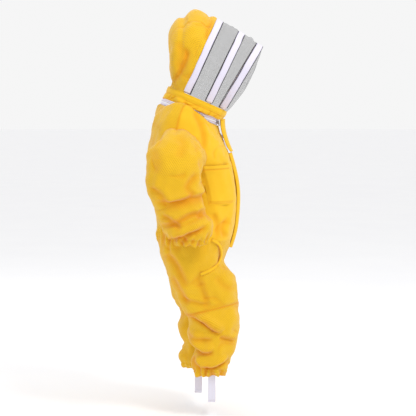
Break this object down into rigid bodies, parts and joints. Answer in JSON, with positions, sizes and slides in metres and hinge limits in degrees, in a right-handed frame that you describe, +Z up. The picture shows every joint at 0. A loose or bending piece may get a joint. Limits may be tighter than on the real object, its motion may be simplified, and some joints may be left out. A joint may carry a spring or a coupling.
{
  "type": "beekeeping suit",
  "caption": "Child's one-piece beekeeping suit of ventilated cloth with gathered cuffs, pockets, foot straps and a tip-back hood with a hooped net veil.",
  "frame": {"origin": "middle of the neck opening, on the plane of the neck zip", "axes": "+Z up the wearer's body, -Y the way the suit faces, -X the suit's own right"},
  "size_m": [0.4254, 0.3161, 1.0719],
  "materials": {
    "ventilated_cloth": "matte three-layer ventilated mesh cloth",
    "cotton_cloth": "matte cotton twill",
    "white_tape": "woven tape",
    "white_elastic": "ribbed elastic webbing",
    "veil_net": "fine black net",
    "spring_wire": "sprung steel wire",
    "zip_metal": "satin metal"
  },
  "bodies": {
    "suit": {"back_panel": "ventilated_cloth", "front_panel_right": "cotton_cloth", "front_panel_left": "cotton_cloth", "waist_elastic": "white_elastic", "neck_zip_lower": "white_tape", "front_zip_tape_right": "white_tape", "front_zip_tape_left": "white_tape", "front_zip_placket": "cotton_cloth", "front_zip_stop": "zip_metal", "chest_pocket_right": "cotton_cloth", "chest_pocket_left": "cotton_cloth", "hip_pocket_welt_right": "cotton_cloth", "hip_pocket_welt_left": "cotton_cloth", "hip_pocket_bag_right": "cotton_cloth", "hip_pocket_bag_left": "cotton_cloth", "loop_patch": "white_tape", "hip_cloth_right": "ventilated_cloth", "hip_cloth_left": "ventilated_cloth"},
    "front_slider": {"front_zip_slider": "zip_metal"},
    "front_pull": {"front_zip_pull": "zip_metal"},
    "hood": {"neck_zip_upper": "white_tape", "hood_skirt": "cotton_cloth", "hood_band": "cotton_cloth", "hood_side_right": "ventilated_cloth", "hood_crown": "ventilated_cloth", "hood_side_left": "ventilated_cloth", "veil_tape_rear": "white_tape", "veil_tape_middle": "white_tape", "veil_tape_front": "white_tape", "hoop_wire_rear": "spring_wire", "hoop_wire_middle": "spring_wire", "hoop_wire_front": "spring_wire", "veil_net_rear": "veil_net", "veil_net_middle": "veil_net", "veil_net_front": "veil_net"},
    "throat_tab": {"throat_tab": "cotton_cloth", "hook_patch": "white_tape"},
    "neck_slider_right": {"neck_zip_slider_right": "zip_metal"},
    "neck_pull_right": {"neck_zip_pull_right": "zip_metal"},
    "upper_arm_right": {"upper_sleeve_right": "ventilated_cloth", "elbow_cloth_right": "ventilated_cloth"},
    "forearm_right": {"lower_sleeve_right": "ventilated_cloth", "wrist_elastic_right": "white_elastic"},
    "thigh_right": {"thigh_right": "ventilated_cloth", "knee_cloth_right": "ventilated_cloth"},
    "shin_right": {"shin_right": "ventilated_cloth", "ankle_elastic_right": "white_elastic"},
    "strap_right": {"foot_strap_right": "white_elastic"},
    "neck_slider_left": {"neck_zip_slider_left": "zip_metal"},
    "neck_pull_left": {"neck_zip_pull_left": "zip_metal"},
    "upper_arm_left": {"upper_sleeve_left": "ventilated_cloth", "elbow_cloth_left": "ventilated_cloth"},
    "forearm_left": {"lower_sleeve_left": "ventilated_cloth", "wrist_elastic_left": "white_elastic"},
    "thigh_left": {"thigh_left": "ventilated_cloth", "knee_cloth_left": "ventilated_cloth"},
    "shin_left": {"shin_left": "ventilated_cloth", "ankle_elastic_left": "white_elastic"},
    "strap_left": {"foot_strap_left": "white_elastic"}
  },
  "joints": [
    {"name": "hood_tip", "type": "hinge", "parent": "suit", "child": "hood", "pos_m": [0, 0.086, 0.012], "axis": [-1, 0, 0], "range_deg": [0, 100]},
    {"name": "throat_tab_lift", "type": "hinge", "parent": "hood", "child": "throat_tab", "pos_m": [0, -0.0925, -0.018], "axis": [-1, 0, 0], "range_deg": [0, 120]},
    {"name": "front_zip", "type": "hinge", "parent": "suit", "child": "front_slider", "pos_m": [0, 0.255, -0.244], "axis": [1, 0, 0], "range_deg": [0, 44]},
    {"name": "front_pull_swing", "type": "hinge", "parent": "front_slider", "child": "front_pull", "pos_m": [0, -0.0892, -0.0672], "axis": [-1, 0, 0], "range_deg": [0, 4]},
    {"name": "neck_zip_right", "type": "hinge", "parent": "suit", "child": "neck_slider_right", "pos_m": [0, 0.004, -0.007], "axis": [0, 0.3486, -0.9373], "range_deg": [0, 145]},
    {"name": "neck_pull_swing_right", "type": "hinge", "parent": "neck_slider_right", "child": "neck_pull_right", "pos_m": [-0.02904, -0.0789, -0.02604], "axis": [-0.9455, 0.3052, 0.1135], "range_deg": [0, 60]},
    {"name": "shoulder_right", "type": "hinge", "parent": "suit", "child": "upper_arm_right", "pos_m": [-0.118, 0.03, -0.103], "axis": [-1, 0, 0], "range_deg": [-20, 40]},
    {"name": "elbow_right", "type": "hinge", "parent": "upper_arm_right", "child": "forearm_right", "pos_m": [-0.163, 0.008, -0.245], "axis": [-1, 0, 0], "range_deg": [0, 50], "deforming": ["elbow_cloth_right"]},
    {"name": "hip_right", "type": "hinge", "parent": "suit", "child": "thigh_right", "pos_m": [-0.0595, -0.04, -0.375], "axis": [-1, 0, 0], "range_deg": [-10, 45], "deforming": ["hip_cloth_right", "hip_pocket_welt_right", "hip_pocket_bag_right"]},
    {"name": "knee_right", "type": "hinge", "parent": "thigh_right", "child": "shin_right", "pos_m": [-0.0595, -0.06, -0.55], "axis": [1, 0, 0], "range_deg": [0, 50], "deforming": ["knee_cloth_right"]},
    {"name": "foot_strap_swing_right", "type": "hinge", "parent": "shin_right", "child": "strap_right", "pos_m": [-0.0595, -0.059, -0.71], "axis": [1, 0, 0], "range_deg": [-25, 25]},
    {"name": "neck_zip_left", "type": "hinge", "parent": "suit", "child": "neck_slider_left", "pos_m": [0, 0.004, -0.007], "axis": [0, -0.3486, 0.9373], "range_deg": [0, 145]},
    {"name": "neck_pull_swing_left", "type": "hinge", "parent": "neck_slider_left", "child": "neck_pull_left", "pos_m": [0.02904, -0.0789, -0.02604], "axis": [-0.9455, -0.3052, -0.1135], "range_deg": [0, 60]},
    {"name": "shoulder_left", "type": "hinge", "parent": "suit", "child": "upper_arm_left", "pos_m": [0.118, 0.03, -0.103], "axis": [-1, 0, 0], "range_deg": [-20, 40]},
    {"name": "elbow_left", "type": "hinge", "parent": "upper_arm_left", "child": "forearm_left", "pos_m": [0.163, 0.008, -0.245], "axis": [-1, 0, 0], "range_deg": [0, 50], "deforming": ["elbow_cloth_left"]},
    {"name": "hip_left", "type": "hinge", "parent": "suit", "child": "thigh_left", "pos_m": [0.0595, -0.04, -0.375], "axis": [-1, 0, 0], "range_deg": [-10, 45], "deforming": ["hip_cloth_left", "hip_pocket_welt_left", "hip_pocket_bag_left"]},
    {"name": "knee_left", "type": "hinge", "parent": "thigh_left", "child": "shin_left", "pos_m": [0.0595, -0.0416, -0.55], "axis": [1, 0, 0], "range_deg": [0, 50], "deforming": ["knee_cloth_left"]},
    {"name": "foot_strap_swing_left", "type": "hinge", "parent": "shin_left", "child": "strap_left", "pos_m": [0.0595, -0.023, -0.71], "axis": [1, 0, 0], "range_deg": [-25, 25]}
  ]
}
